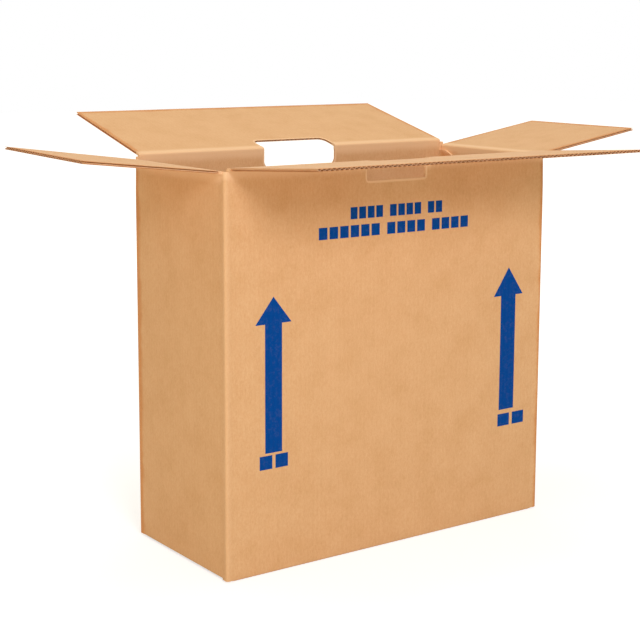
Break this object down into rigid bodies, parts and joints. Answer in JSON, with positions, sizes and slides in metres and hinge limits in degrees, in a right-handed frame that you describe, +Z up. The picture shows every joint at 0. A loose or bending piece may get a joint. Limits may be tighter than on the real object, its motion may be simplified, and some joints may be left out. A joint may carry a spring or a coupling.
{
  "type": "corrugated shipping box",
  "caption": "Tall narrow slotted carton of kraft corrugated board, with full-length top flaps that stand open, a folded bottom and hand slots cut across the wide walls' creases.",
  "frame": {"origin": "on the floor, under the middle of the closed walls", "axes": "+X to the right along the wide front wall, +Y from the front wall to the back wall, +Z up"},
  "size_m": [1.0127, 0.6673, 0.6452],
  "materials": {
    "kraft_board": "matt unbleached kraft liner",
    "blue_print": "matt flexo ink"
  },
  "bodies": {
    "carton": {"carton_body": "kraft_board"},
    "front": {"front_flap": "kraft_board"},
    "back": {"back_flap": "kraft_board"},
    "left": {"left_flap": "kraft_board"},
    "right": {"right_flap": "kraft_board"}
  },
  "joints": [
    {"name": "front_crease", "type": "hinge", "parent": "carton", "child": "front", "pos_m": [0, -0.1273, 0.584], "axis": [-1, 0, 0], "range_deg": [-90.5, 176]},
    {"name": "back_crease", "type": "hinge", "parent": "carton", "child": "back", "pos_m": [0, 0.1273, 0.5884], "axis": [1, 0, 0], "range_deg": [-101.5, 165.4]},
    {"name": "left_crease", "type": "hinge", "parent": "carton", "child": "left", "pos_m": [-0.2983, 0, 0.5796], "axis": [0, 1, 0], "range_deg": [-93.5, 173.5]},
    {"name": "right_crease", "type": "hinge", "parent": "carton", "child": "right", "pos_m": [0.2983, 0, 0.5796], "axis": [0, -1, 0], "range_deg": [-95.5, 171]}
  ]
}
